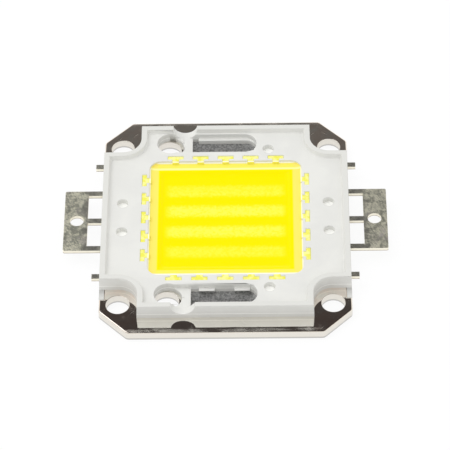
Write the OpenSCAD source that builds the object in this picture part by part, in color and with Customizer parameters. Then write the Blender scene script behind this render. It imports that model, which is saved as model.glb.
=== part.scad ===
// Chip-on-board LED module with a moulded frame and two comb terminals.
// X runs from terminal to terminal, Y runs front to back, Z is up.
// The origin is the middle of the underside of the base plate.

/* [Base plate] */
// Width of the base plate, terminal side to terminal side
plate_w = 40; // [36:1:60]
// Length of the base plate, front to back
plate_l = 46; // [42:1:70]
// Thickness of the base plate
plate_t = 1.6; // [1:0.1:3]
// Leg of the 45 degree corner chamfers
plate_chamfer = 4.5; // [2:0.1:5]
// Radius that softens the ends of each chamfer
plate_corner_r = 0.9; // [0.2:0.1:1.5]
// Diameter of the four mounting holes
mount_hole_d = 3.75; // [2.5:0.05:4]
// Mounting hole centre to the side of the plate
mount_edge_x = 3; // [2.8:0.1:3.6]
// Mounting hole centre to the front or back of the plate
mount_edge_y = 5.9; // [5.2:0.1:6.4]
// Depth of the notch along each side that the moulding fills
side_notch_depth = 0.8; // [0.3:0.1:1.2]
// Distance that the side notch runs on past the corner cut-out of the frame
side_notch_run_on = 2; // [0.5:0.05:2.4]
// Height of the bare plate edge under the moulding in the side notch
side_notch_lift = 0.2; // [0.1:0.05:0.5]

/* [Frame] */
// Bare plate left in front of the frame and behind it
bare_edge = 3.1; // [1:0.1:5]
// Height of the rim above the plate
frame_h = 2.6; // [2.3:0.1:4]
// Depth of the deck below the top of the rim
deck_drop = 0.8; // [0.4:0.05:1]
// Width of the rim at its top
rim_w = 0.9; // [0.6:0.05:1.1]
// Extra width of the rim at the deck, from its draft
rim_draft = 0.2; // [0.1:0.05:0.3]
// Lean of the outer walls, from the plate up to the top of the rim
wall_draft = 0.1; // [0.05:0.01:0.15]
// Width of the corner cut-outs, from the side of the frame
cutout_w = 6.05; // [5.2:0.05:7]
// Length of the corner cut-outs, from the front or back of the frame
cutout_l = 5.95; // [5.2:0.05:7]
// Radius in the inner corner of each cut-out
cutout_r = 3; // [1:0.1:4]

/* [Light well] */
// Width and length of the opening in the deck
well_size = 24.8; // [22:0.1:26]
// Corner radius of the opening
well_r = 1.8; // [0.8:0.1:3]
// Width of the ledge round the inside of the well
ledge_w = 1.5; // [1:0.05:2]
// Corner radius of the inner pit
pit_r = 0.5; // [0.2:0.1:1.2]
// Number of T-shaped anchor pockets on each side
anchor_count = 5; // [1:1:6]
// Distance between neighbouring pockets
anchor_pitch = 4.1; // [3.2:0.1:4.2]
// Length of the bar of the T, along the side of the well
anchor_bar_l = 2.6; // [1.6:0.1:3]
// Width of the bar of the T
anchor_bar_w = 0.75; // [0.4:0.05:0.9]
// Width of the stem of the T
anchor_stem_w = 1.1; // [0.5:0.1:1.4]
// Length of the stem of the T
anchor_stem_l = 0.45; // [0.2:0.05:0.6]

/* [Slots and pin holes] */
// Centre line of the slots to the front or back of the frame
slot_edge = 3.4; // [3.2:0.05:3.6]
// Width of the slot recess
slot_w = 4; // [3.2:0.1:4.1]
// Floor of the slot recess above the plate
slot_floor = 0.9; // [0.5:0.05:1.2]
// Far end of the slot recess, to the right of the middle
slot_end = 5.05; // [4:0.05:5.4]
// Left end of the window in the slot floor, to the left of the middle
window_start = 5.45; // [4.6:0.05:5.8]
// Width of the ledge between the window and the outer wall of the slot
window_ledge = 0.5; // [0.3:0.05:0.8]
// Length of the left end of the window that has no ledge
window_foot = 0.95; // [0.4:0.05:1.2]
// Width of the two small teeth on the inner wall of the slot
tooth_w = 0.65; // [0.3:0.05:0.9]
// Length of each tooth
tooth_l = 2.5; // [1:0.1:3]
// Left end of the left tooth, to the left of the middle
left_tooth = 4.2; // [3.8:0.1:4.4]
// Left end of the right tooth, to the right of the middle
right_tooth = 1.4; // [0.2:0.1:1.6]
// Diameter of the locating hole through the frame
locator_d = 4.4; // [4:0.1:4.6]
// Locating hole centre to the left of the middle
locator_x = 9.05; // [8.8:0.05:9.4]
// Diameter of the locating hole through the plate
plate_locator_d = 4; // [3:0.1:4.2]
// Distance that the hole in the plate sits left of the hole in the frame
plate_locator_shift = 0.25; // [0:0.05:0.3]
// Radius of the half-round channel through the rim
channel_r = 1.95; // [1.2:0.05:2]
// Centre of the channel to the left of the middle
channel_x = 6.68; // [6.2:0.02:7]
// Bottom of the channel below the floor of the slot
channel_dip = 0.05; // [0.02:0.01:0.2]
// Diameter of the blind pin holes
pin_hole_d = 1.8; // [1:0.1:2.2]
// Depth of the pin holes below the deck
pin_hole_depth = 1; // [0.4:0.1:1.3]
// Side pin hole centre to the side of the frame
pin_hole_edge = 3.35; // [3:0.05:3.6]
// Side pin holes, distance from the middle line
pin_hole_y = 3.1; // [2.8:0.1:3.3]
// Single pin hole in front and behind, to the right of the middle
end_pin_x = 7; // [6.8:0.1:8]
// Single pin hole centre to the front or back of the frame
end_pin_edge = 4.8; // [4.3:0.05:4.9]

/* [Leadframes] */
// Thickness of the leadframe strip
lead_t = 0.65; // [0.3:0.05:0.7]
// Plastic between the plate and the leadframe
lead_gap = 0.4; // [0.3:0.05:0.6]
// Overall width over both terminals
lead_span = 52.1; // [50:0.1:72]
// Length of the joining tab, front to back
tab_l = 13; // [13:0.5:18]
// Width of the joining tab
tab_w = 3.8; // [3.4:0.1:4.4]
// Corner radius of the tab
tab_r = 0.3; // [0.1:0.05:0.6]
// Diameter of the hole in the tab
tab_hole_d = 2.2; // [1.5:0.1:2.6]
// Tab hole centre to the outer edge of the tab
tab_hole_edge = 2.05; // [1.7:0.05:2.1]
// Width of the legs and of the cut-off stubs
leg_w = 1; // [0.6:0.1:1.4]
// Distance between neighbouring legs
leg_pitch = 6; // [5.6:0.1:6]
// Length of the cut-off stubs outside the frame
stub_l = 1.25; // [0.6:0.05:1.6]
// Width of the strip that is buried in the frame beyond the well
strip_root_w = 1.9; // [1.7:0.1:2]
// Run of the buried strip past the outermost stubs
strip_run_on = 0.5; // [0.3:0.05:0.6]

/* [Dies and wires] */
// Number of dies in each row
dies_per_row = 10; // [4:1:12]
// Width and length of a die
die_size = 1.1; // [0.6:0.05:1.2]
// Thickness of a die
die_t = 0.15; // [0.1:0.01:0.3]
// Inner edge of the ledge to the first die centre
die_margin_x = 1.72; // [1.4:0.02:2.4]
// Inner edge of the ledge to the first row
die_margin_y = 4.2; // [3:0.1:5]
// Thickness of the adhesive under a die
attach_t = 0.03; // [0.02:0.01:0.06]
// Adhesive that shows round a die
attach_fillet = 0.06; // [0.02:0.01:0.1]
// Diameter of the bond wires
wire_d = 0.05; // [0.03:0.01:0.08]
// Bond pad centre to the edge of a die
pad_inset = 0.2; // [0.12:0.02:0.26]
// Height of the wire loops above the dies
loop_h = 0.35; // [0.2:0.05:0.45]
// Diameter of the ball at each end of a wire
ball_d = 0.13; // [0.1:0.01:0.18]
// Thickness of the flattened ball beyond that of the wire
ball_over = 0.01; // [0.005:0.005:0.03]
// Rise of the end loops above their bond on the leadframe
end_loop_rise = 0.025; // [0.015:0.005:0.06]
// Bond on the leadframe to the inner edge of the strip
strip_bond_inset = 0.4; // [0.3:0.05:0.6]

/* [Silicone] */
// Depth of the light field below the silicone on the ledge
field_dip = 0.27; // [0.1:0.01:0.3]
// Inner edge of the ledge to the foot of the bank that runs down to the light field
bank_foot = 0.85; // [0.8:0.05:1.2]
// Run of that bank from its foot up to its top
bank_w = 0.4; // [0.1:0.05:0.6]
// Silicone in the anchor pockets below the deck
anchor_dip = 0.12; // [0.05:0.01:0.2]
// Silicone left over the top of the end loops
loop_cover = 0.04; // [0.02:0.01:0.06]

/* [Hidden] */
$fn = 64;
die_rows = 4;
over = 1;                                    // how far cutting bodies run past a face
sides = [-1, 1];

// Levels
deck_z = plate_t + frame_h - deck_drop;
rim_z = plate_t + frame_h;
lead_z = plate_t + lead_gap;
ledge_z = lead_z + lead_t;
slot_z = plate_t + slot_floor;
channel_z = slot_z - channel_dip + channel_r;
pin_z = deck_z - pin_hole_depth;
ball_t = wire_d + ball_over;
strip_bond_z = ledge_z + ball_t / 2;
end_apex = strip_bond_z + end_loop_rise;
film_z = end_apex + wire_d / 2 + loop_cover;
field_z = film_z - field_dip;
anchor_z = deck_z - anchor_dip;
die_z = plate_t + attach_t;
die_top = die_z + die_t;

// Plan of the frame
frame_w = plate_w;
frame_l = plate_l - 2 * bare_edge;
frame_x = frame_w / 2;
frame_y = frame_l / 2;
rim_in = wall_draft + rim_w;
cutout_x = frame_x - cutout_w;
cutout_y = frame_y - cutout_l;
slot_y = frame_y - slot_edge;
notch_y = cutout_y + side_notch_run_on;
mount_x = plate_w / 2 - mount_edge_x;
mount_y = plate_l / 2 - mount_edge_y;
pit_size = well_size - 2 * ledge_w;
field_size = pit_size - 2 * bank_foot;

// Plan of a leadframe, with X measured outwards from the middle of the module
strip_x = pit_size / 2;
root_x = well_size / 2 + strip_root_w;
tab_x = lead_span / 2 - tab_w;
stub_x = frame_x + stub_l;
strip_y = 2 * leg_pitch + strip_run_on;

// Places of the dies and of their bonds
die_x = pit_size / 2 - die_margin_x;
die_pitch = 2 * die_x / (dies_per_row - 1);
row_y = pit_size / 2 - die_margin_y;
row_pitch = 2 * row_y / (die_rows - 1);
pad_x = die_size / 2 - pad_inset;
bond_z = die_top + ball_t / 2;

function die_centre(i) = -die_x + i * die_pitch;
function row_place(row) = row_y - (row - 1) * row_pitch;
// Diameter of the circle through two points that lie drop_a and drop_b below its top, run apart
function loop_diameter(run, drop_a, drop_b) =
    let (
        b = drop_a + drop_b,
        gap = pow(drop_a - drop_b, 2),
        d = pow(run, 2) + gap,
        e = pow(run, 2) + pow(b, 2)
    )
    gap < 0.000001 ? e / (2 * b) : (b * d - sqrt(b * b * d * d - gap * d * e)) / gap;

// Copies of the children at both ends of both axes, mirrored into place
module four_corners() {
    for (mx = [0, 1], my = [0, 1])
        mirror([mx, 0, 0]) mirror([0, my, 0]) children();
}

// Copies of the children in front and behind
module front_and_back() {
    for (my = [0, 1])
        mirror([0, my, 0]) children();
}

// Rectangle about the middle, with round corners
module rounded_rect(w, l, r) {
    difference() {
        square([w, l], center = true);
        four_corners() vertex_sliver([w / 2, l / 2], 180, 270, r);
    }
}

// Rectangle between two corner points
module rect(low, high) {
    translate(low) square(high - low);
}

// The sliver that rounding to radius r takes off an outline at a vertex.
// The edges leave the vertex in the directions a and b, given in degrees.
module vertex_sliver(vertex, a, b, r) {
    half = (b - a) / 2;
    run = r / tan(half);
    reach = r / sin(half);
    middle = a + half;
    centre = vertex + reach * [cos(middle), sin(middle)];
    difference() {
        polygon([
            vertex - 0.1 * r * [cos(middle), sin(middle)],
            vertex + run * [cos(a), sin(a)],
            centre,
            vertex + run * [cos(b), sin(b)]
        ]);
        circle_at(centre, r);
    }
}

module circle_at(centre, r) {
    translate(centre) circle(r);
}

// Outline of the base plate, with its chamfers and side notches
module plate_outline() {
    x = plate_w / 2;
    y = plate_l / 2;
    difference() {
        square([plate_w, plate_l], center = true);
        four_corners() {
            polygon([[x - plate_chamfer, y], [x, y - plate_chamfer], [x + over, y - plate_chamfer],
                [x + over, y + over], [x - plate_chamfer, y + over]]);
            vertex_sliver([x - plate_chamfer, y], 180, 315, plate_corner_r);
            vertex_sliver([x, y - plate_chamfer], 135, 270, plate_corner_r);
        }
        for (s = sides)
            rect([s * x - side_notch_depth, -notch_y], [s * x + side_notch_depth, notch_y]);
    }
}

module base_plate() {
    color("#b5b0a6")
    difference() {
        linear_extrude(plate_t) plate_outline();
        four_corners() translate([mount_x, mount_y, -over])
            cylinder(d = mount_hole_d, h = plate_t + 2 * over);
        front_and_back() translate([-locator_x - plate_locator_shift, slot_y, -over])
            cylinder(d = plate_locator_d, h = plate_t + 2 * over);
    }
}

// Block over the inside of one corner cut-out, from z_low to z_high.
// The wall stands grow_low outside the cut-out at z_low and grow_high outside it at z_high.
module cutout_block(z_low, z_high, grow_low, grow_high) {
    h = z_high - z_low;
    bx = cutout_x + cutout_r;
    by = cutout_y + cutout_r;
    reach_x = frame_x + over;
    reach_y = frame_y + over;
    translate([bx, by, z_low])
        cylinder(r1 = cutout_r + grow_low, r2 = cutout_r + grow_high, h = h);
    // wall that faces along X
    translate([0, reach_y, z_low]) rotate([90, 0, 0]) linear_extrude(reach_y - by)
        polygon([[cutout_x - grow_low, 0], [reach_x, 0], [reach_x, h], [cutout_x - grow_high, h]]);
    // wall that faces along Y
    translate([bx, 0, z_low]) rotate([90, 0, 90]) linear_extrude(reach_x - bx)
        polygon([[cutout_y - grow_low, 0], [reach_y, 0], [reach_y, h], [cutout_y - grow_high, h]]);
}

// Block about the middle with sloping sides, from z_low up to z_end.
// It measures low at the height z_low and high at the height z_high, each [width, length].
module tapered_block(low, high, z_low, z_high, z_end) {
    h = z_end - z_low;
    half = low / 2;
    end = half + (high - low) / 2 * h / (z_high - z_low);
    reach = [max(half[0], end[0]), max(half[1], end[1])] + [over, over];
    intersection() {
        translate([0, reach[1], z_low]) rotate([90, 0, 0]) linear_extrude(2 * reach[1])
            polygon([[-half[0], 0], [half[0], 0], [end[0], h], [-end[0], h]]);
        translate([-reach[0], 0, z_low]) rotate([90, 0, 90]) linear_extrude(2 * reach[0])
            polygon([[-half[1], 0], [half[1], 0], [end[1], h], [-end[1], h]]);
    }
}

// The hollow above the deck, which narrows downwards by the draft of the rim
module deck_hollow() {
    frame = [frame_w, frame_l];
    low = rim_in + rim_draft;
    end = rim_in - rim_draft * over / deck_drop;
    difference() {
        tapered_block(frame - 2 * low * [1, 1], frame - 2 * rim_in * [1, 1], deck_z, rim_z, rim_z + over);
        four_corners() cutout_block(deck_z, rim_z + over, low, end);
    }
}

// Plan of the anchor pockets on all four sides of the well
module anchor_plan() {
    edge = well_size / 2;
    bar = edge + anchor_stem_l;
    for (turn = [0:90:270], i = [0:anchor_count - 1])
        rotate(turn) translate([0, (i - (anchor_count - 1) / 2) * anchor_pitch]) {
            rect([edge - ledge_w / 2, -anchor_stem_w / 2], [bar + anchor_bar_w / 2, anchor_stem_w / 2]);
            rect([bar, -anchor_bar_l / 2], [bar + anchor_bar_w, anchor_bar_l / 2]);
        }
}

// Long recess behind the locating hole, with a round far end
module slot_plan() {
    r = slot_w / 2;
    rect([-locator_x, slot_y - r], [slot_end - r, slot_y + r]);
    circle_at([slot_end - r, slot_y], r);
}

// Window in the floor of the slot, down to the plate, less its two teeth
module window_plan() {
    inner = slot_y - slot_w / 2;
    r = (slot_w - window_ledge) / 2;
    difference() {
        union() {
            rect([-window_start, inner], [window_foot - window_start, inner + slot_w]);
            rect([-window_start, inner], [slot_end - r, inner + 2 * r]);
            circle_at([slot_end - r, inner + r], r);
        }
        for (x = [-left_tooth, right_tooth])
            rect([x, inner - over], [x + tooth_l, inner + tooth_w]);
    }
}

// Everything that is cut downwards into the deck at one end of the frame
module end_cuts() {
    translate([0, 0, slot_z]) linear_extrude(rim_z) slot_plan();
    translate([0, 0, plate_t - over]) linear_extrude(rim_z) window_plan();
    translate([-locator_x, slot_y, -over]) cylinder(d = locator_d, h = rim_z + 2 * over);
    translate([-channel_x, frame_y + over, channel_z]) rotate([90, 0, 0])
        cylinder(r = channel_r, h = slot_edge + over);
    translate([end_pin_x, frame_y - end_pin_edge, pin_z]) cylinder(d = pin_hole_d, h = rim_z);
}

module housing() {
    color("#eeeee8")
    difference() {
        union() {
            tapered_block([frame_w, frame_l], [frame_w, frame_l] - 2 * wall_draft * [1, 1],
                plate_t, rim_z, rim_z);
            // the moulding fills the notch along each side of the plate
            for (s = sides)
                translate([0, 0, side_notch_lift]) linear_extrude(plate_t - side_notch_lift)
                    rect([s > 0 ? frame_x - side_notch_depth : -frame_x, -notch_y],
                        [s > 0 ? frame_x : side_notch_depth - frame_x, notch_y]);
        }
        four_corners() cutout_block(plate_t, rim_z + over, 0, wall_draft * (1 + over / frame_h));
        deck_hollow();
        translate([0, 0, plate_t - over]) linear_extrude(rim_z) rounded_rect(pit_size, pit_size, pit_r);
        translate([0, 0, ledge_z]) linear_extrude(rim_z) {
            rounded_rect(well_size, well_size, well_r);
            anchor_plan();
        }
        front_and_back() end_cuts();
        for (sx = sides, sy = sides)
            translate([sx * (frame_x - pin_hole_edge), sy * pin_hole_y, pin_z])
                cylinder(d = pin_hole_d, h = rim_z);
        leadframe_body();
        mirror([1, 0, 0]) leadframe_body();
    }
}

// One leadframe, on the right-hand side
module leadframe_body() {
    translate([0, 0, lead_z]) linear_extrude(lead_t) difference() {
        union() {
            rect([strip_x, -strip_y], [root_x, strip_y]);
            for (y = [-leg_pitch, 0, leg_pitch])
                rect([root_x - leg_w, y - leg_w / 2], [tab_x + leg_w, y + leg_w / 2]);
            for (s = sides)
                rect([root_x - leg_w, s * 2 * leg_pitch - leg_w / 2],
                    [stub_x, s * 2 * leg_pitch + leg_w / 2]);
            translate([tab_x + tab_w / 2, 0]) rounded_rect(tab_w, tab_l, tab_r);
        }
        circle_at([lead_span / 2 - tab_hole_edge, 0], tab_hole_d / 2);
    }
}

module right_leadframe() {
    color("#9c9d90") leadframe_body();
}

module left_leadframe() {
    color("#9c9d90") mirror([1, 0, 0]) leadframe_body();
}

module phosphor_fill() {
    color("#ffe800")
    difference() {
        union() {
            translate([0, 0, plate_t]) linear_extrude(film_z - plate_t)
                rounded_rect(pit_size, pit_size, pit_r);
            translate([0, 0, ledge_z]) linear_extrude(film_z - ledge_z) difference() {
                rounded_rect(well_size, well_size, well_r);
                rounded_rect(pit_size, pit_size, pit_r);
            }
            translate([0, 0, ledge_z]) linear_extrude(anchor_z - ledge_z) difference() {
                anchor_plan();
                square(well_size, center = true);
            }
        }
        tapered_block(field_size * [1, 1], (field_size + 2 * bank_w) * [1, 1],
            field_z, film_z, film_z + over);
        for (row = [1:die_rows]) {
            die_attach_row(row);
            die_row(row);
            bond_wires_row(row);
        }
    }
}

// Copies of the children at each die of a row
module along_row(row) {
    for (i = [0:dies_per_row - 1])
        translate([die_centre(i), row_place(row), 0]) children();
}

module die_row(row) {
    color("#cfd8a0") along_row(row) translate([0, 0, die_z]) linear_extrude(die_t)
        square(die_size, center = true);
}

module die_attach_row(row) {
    color("#d8d8d0") along_row(row) translate([0, 0, plate_t]) linear_extrude(attach_t)
        square(die_size + 2 * attach_fillet, center = true);
}

// Round wire from one bond to another, bent to one arc whose top is at the height apex
module bond_wire(from, to, apex) {
    drop_a = apex - from[1];
    drop_b = apex - to[1];
    r = loop_diameter(to[0] - from[0], drop_a, drop_b) / 2;
    start = acos((r - drop_a) / r);
    end = acos((r - drop_b) / r);
    translate([from[0] + r * sin(start), 0, apex - r]) rotate([90, 0, 0]) rotate(90 - end)
        rotate_extrude(angle = start + end) translate([r, 0]) circle(d = wire_d, $fn = 24);
    for (p = [from, to])
        translate([p[0], 0, p[1] - ball_t / 2]) cylinder(d = ball_d, h = ball_t, $fn = 24);
}

module bond_wires_row(row) {
    left_bond = [-strip_x - strip_bond_inset, strip_bond_z];
    right_bond = [strip_x + strip_bond_inset, strip_bond_z];
    color("#e0b040") translate([0, row_place(row), 0]) {
        bond_wire(left_bond, [die_centre(0) - pad_x, bond_z], end_apex);
        for (i = [0:dies_per_row - 2])
            bond_wire([die_centre(i) + pad_x, bond_z], [die_centre(i + 1) - pad_x, bond_z],
                die_top + loop_h);
        bond_wire([die_centre(dies_per_row - 1) + pad_x, bond_z], right_bond, end_apex);
    }
}

base_plate();
housing();
left_leadframe();
right_leadframe();
phosphor_fill();
die_row(1);  // die_row_1
die_row(2);  // die_row_2
die_row(3);  // die_row_3
die_row(4);  // die_row_4
die_attach_row(1);  // die_attach_row_1
die_attach_row(2);  // die_attach_row_2
die_attach_row(3);  // die_attach_row_3
die_attach_row(4);  // die_attach_row_4
bond_wires_row(1);  // bond_wires_row_1
bond_wires_row(2);  // bond_wires_row_2
bond_wires_row(3);  // bond_wires_row_3
bond_wires_row(4);  // bond_wires_row_4
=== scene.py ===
"""Dresses a chip-on-board LED module and sets it in a plain studio.

The module is a nickel plated base plate with a white moulded frame, two tinned comb terminals and
a light field of yellow phosphor silicone over four rows of dies. X runs from terminal to terminal,
Y from front to back and Z up. All lengths are metres.
"""

from __future__ import annotations

import logging
import math
from dataclasses import dataclass
from enum import Enum
from typing import Callable, Sequence, Union

import bmesh
import bpy
from mathutils import Matrix, Vector


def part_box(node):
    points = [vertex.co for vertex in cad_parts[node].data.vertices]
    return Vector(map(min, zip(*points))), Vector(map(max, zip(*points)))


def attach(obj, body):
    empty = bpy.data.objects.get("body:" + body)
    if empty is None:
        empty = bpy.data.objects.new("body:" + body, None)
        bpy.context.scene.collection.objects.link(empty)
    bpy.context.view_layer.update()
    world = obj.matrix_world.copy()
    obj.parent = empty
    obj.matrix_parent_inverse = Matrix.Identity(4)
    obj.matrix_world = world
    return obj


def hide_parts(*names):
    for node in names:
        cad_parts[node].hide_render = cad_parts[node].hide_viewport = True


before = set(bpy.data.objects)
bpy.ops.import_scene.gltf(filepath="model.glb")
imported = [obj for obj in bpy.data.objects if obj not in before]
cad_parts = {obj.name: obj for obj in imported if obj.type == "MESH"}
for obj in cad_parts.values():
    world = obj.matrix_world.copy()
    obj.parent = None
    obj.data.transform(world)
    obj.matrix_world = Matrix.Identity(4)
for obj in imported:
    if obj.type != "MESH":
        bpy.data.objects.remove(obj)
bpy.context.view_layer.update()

MM = 0.001
BODY = "root"
DIE_ROWS = 4
LEG_END = 22.2 * MM
WHITE = (1.0, 1.0, 1.0, 1.0)
log = logging.getLogger("led_module")

Socket = bpy.types.NodeSocket
Feed = Union[float, int, tuple, bpy.types.NodeSocket, bpy.types.Material]
Colour = tuple[float, float, float, float]


class Slot(Enum):
    """Material slots of the record."""

    NICKEL = "nickel_plate"
    MOULDING = "white_moulding"
    STRIP = "tinned_strip"
    SILICONE = "phosphor_silicone"
    DIE = "led_die"
    ADHESIVE = "die_adhesive"
    WIRE = "gold_wire"


class Side(Enum):
    """The two terminals, with the sign of their X."""

    LEFT = -1
    RIGHT = 1


# ---------------------------------------------------------------- node trees


class Wiring:
    """Short-hand for adding and linking the nodes of one tree."""

    def __init__(self, tree: bpy.types.NodeTree) -> None:
        """Work on one tree.

        Args:
            tree: the shader, world or geometry tree that gets the nodes.
        """
        self.tree = tree

    def node(self, kind: str, feeds: dict | None = None, **settings: object) -> bpy.types.Node:
        """Add a node.

        Args:
            kind: Blender's name for the node type.
            feeds: for each input, by index or name, a socket to link or a value to set.
            settings: properties of the node itself.

        Returns:
            The new node.
        """
        made = self.tree.nodes.new(kind)
        for name, value in settings.items():
            setattr(made, name, value)
        for key, value in (feeds or {}).items():
            if isinstance(value, bpy.types.NodeSocket):
                self.tree.links.new(value, made.inputs[key])
            else:
                made.inputs[key].default_value = value
        return made

    def math(self, operation: str, *terms: Feed) -> Socket:
        """Result of a Math node on the given terms."""
        return self.node("ShaderNodeMath", dict(enumerate(terms)), operation=operation).outputs[0]

    def times(self, first: Feed, second: Feed) -> Socket:
        """Product of two terms."""
        return self.math("MULTIPLY", first, second)

    def plus(self, first: Feed, second: Feed) -> Socket:
        """Sum of two terms."""
        return self.math("ADD", first, second)

    def minus(self, first: Feed, second: Feed) -> Socket:
        """First term less the second."""
        return self.math("SUBTRACT", first, second)

    def size(self, value: Feed) -> Socket:
        """Value without its sign."""
        return self.math("ABSOLUTE", value)

    def vector(self, x: Feed = 0.0, y: Feed = 0.0, z: Feed = 0.0) -> Socket:
        """Vector put together from three terms."""
        return self.node("ShaderNodeCombineXYZ", {0: x, 1: y, 2: z}).outputs[0]

    def parts(self, vector: Socket) -> Sequence[Socket]:
        """X, Y and Z of a vector."""
        return self.node("ShaderNodeSeparateXYZ", {0: vector}).outputs

    def blend(self, share: Feed, first: Feed, second: Feed) -> Socket:
        """Colour that goes from first to second as share goes from 0 to 1."""
        feeds = {0: share, 6: first, 7: second}
        return self.node("ShaderNodeMix", feeds, data_type="RGBA").outputs[2]

    def spread(self, value: Feed, low: float, high: float, to_low: float = 0.0,
               to_high: float = 1.0) -> Socket:
        """Smooth step of a value.

        Args:
            value: the value to map.
            low: where the step starts.
            high: where the step ends.
            to_low: the result up to low.
            to_high: the result from high on.

        Returns:
            The mapped value.
        """
        feeds = {0: value, 1: low, 2: high, 3: to_low, 4: to_high}
        return self.node("ShaderNodeMapRange", feeds, interpolation_type="SMOOTHSTEP").outputs[0]

    def noise(self, place: Socket, grain: float, detail: float = 2.0, warp: float = 0.0) -> Socket:
        """Value noise.

        Args:
            place: the point that the noise is read at.
            grain: size of one blotch, in metres.
            detail: octaves of finer noise.
            warp: how far the blotches are pulled out of shape.

        Returns:
            The noise, about 0 to 1.
        """
        feeds = {"Vector": place, "Scale": 1 / grain, "Detail": detail, "Distortion": warp}
        return self.node("ShaderNodeTexNoise", feeds).outputs[0]

    def mapped(self, place: Socket, turn: float = 0.0, scale: tuple = (1.0, 1.0, 1.0)) -> Socket:
        """Point turned about Z by turn, in radians, and then scaled."""
        turned = self.node("ShaderNodeMapping", {"Vector": place, "Rotation": (0.0, 0.0, turn)})
        return self.node("ShaderNodeMapping", {"Vector": turned.outputs[0], "Scale": scale}).outputs[0]

    def bump(self, height: Socket, depth: float, over: Socket | None = None) -> Socket:
        """Normal of a relief.

        Args:
            height: relief, 0 to 1.
            depth: how deep a full step of the relief is, in metres.
            over: another relief's normal that this one adds to.

        Returns:
            The disturbed normal.
        """
        feeds: dict = {"Height": height, "Distance": depth, "Strength": 1.0}
        if over is not None:
            feeds["Normal"] = over
        return self.node("ShaderNodeBump", feeds).outputs[0]


# ---------------------------------------------------------------- finishes


@dataclass(frozen=True)
class Finish:
    """What all finishes share: one principled shader, wired from the piece's own coordinates."""

    slot: Slot

    def material(self) -> bpy.types.Material:
        """Build the material."""
        made = bpy.data.materials.new(self.slot.value)
        wiring = fresh_tree(made)
        place = wiring.node("ShaderNodeTexCoord").outputs["Object"]
        shader = wiring.node("ShaderNodeBsdfPrincipled")
        wiring.node("ShaderNodeOutputMaterial", {"Surface": shader.outputs[0]})
        for name, value in self.wire(wiring, place).items():
            if isinstance(value, bpy.types.NodeSocket):
                made.node_tree.links.new(value, shader.inputs[name])
            else:
                shader.inputs[name].default_value = value
        return made

    def wire(self, wiring: Wiring, place: Socket) -> dict[str, Feed]:
        """Feeds of the shader.

        Args:
            wiring: the material's tree.
            place: Object coordinates.

        Returns:
            For each named input of the shader, a socket or a constant.
        """
        raise NotImplementedError

    def choose(self, wiring: Wiring, share: Feed, first: Feed, second: Feed) -> Socket:
        """Number that goes from first to second as share goes from 0 to 1."""
        return wiring.node("ShaderNodeMix", {0: share, 2: first, 3: second}).outputs[0]

    def deeper(self, colour: Colour, share: float = 0.85) -> Colour:
        """Colour taken down to a share of its strength."""
        return (*(share * part for part in colour[:3]), 1.0)

    def upright(self, wiring: Wiring, flat: float = 0.6) -> Socket:
        """Share, 0 to 1, by which a face stands upright.

        Args:
            wiring: the material's tree.
            flat: height of the unit normal from which a face counts as lying flat.

        Returns:
            The share.
        """
        slope = wiring.size(wiring.parts(wiring.node("ShaderNodeTexCoord").outputs["Normal"])[2])
        return wiring.spread(slope, 0.4 * flat, flat, 1.0, 0.0)

    def inside(self, wiring: Wiring, value: Socket, middle: float, half: float) -> Socket:
        """1 where a value lies within half of the middle, otherwise 0."""
        away = wiring.size(wiring.minus(value, middle))
        return wiring.math("LESS_THAN", away, half)


@dataclass(frozen=True)
class MouldedPlastic(Finish):
    """White thermoplastic with a fine spark-eroded grain."""

    pin_floor_z: float
    rim_z: float
    # painted shade: the rim tops get a darker tone than the deck
    rim: Colour = (0.735, 0.735, 0.70, 1.0)
    pale: Colour = (0.80, 0.80, 0.765, 1.0)
    shade: Colour = (0.765, 0.765, 0.735, 1.0)
    # painted glow: near-white colour that the pin ends take and also give off as light
    pin_floor_glow: Colour = (0.99, 0.99, 0.96, 1.0)
    pin_floor_band: float = 0.04 * MM
    glint: float = 0.1
    grain: float = 0.11 * MM
    grain_depth: float = 0.0025 * MM
    broad_grain: float = 5 * MM
    flow_grain: float = 6 * MM
    rim_band: float = 0.1 * MM

    def wire(self, wiring: Wiring, place: Socket) -> dict[str, Feed]:
        """Feeds of the shader: broad tone, flow marks, fine grain, painted shade on the rim tops and a
        painted glow on the pin ends.
        """
        height = wiring.parts(place)[2]
        # painted highlight and glow: the pin ends are made near white and self-lit
        glowing_pin_floor = self.inside(wiring, height, self.pin_floor_z, self.pin_floor_band)
        broad = wiring.noise(place, self.broad_grain, 3.0, 0.4)
        fine = wiring.noise(place, self.grain, 3.0)
        flow = wiring.noise(wiring.mapped(place, 0.3, (1.0, 6.0, 1.0)), self.flow_grain, 2.0, 0.6)
        tone = wiring.blend(wiring.spread(broad, 0.35, 0.65), self.pale, self.shade)
        # painted shade on the rim tops
        rim_painted_shade = wiring.math("GREATER_THAN", height, self.rim_z - self.rim_band)
        tone = wiring.blend(rim_painted_shade, tone, self.rim)
        return {
            "Base Color": wiring.blend(glowing_pin_floor, tone, self.pin_floor_glow),
            "Roughness": wiring.spread(flow, 0.3, 0.7, 0.42, 0.56),
            "Normal": wiring.bump(fine, self.grain_depth),
            "Emission Color": self.pin_floor_glow,
            "Emission Strength": wiring.times(glowing_pin_floor, self.glint),
            "IOR": 1.5,
        }


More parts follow.
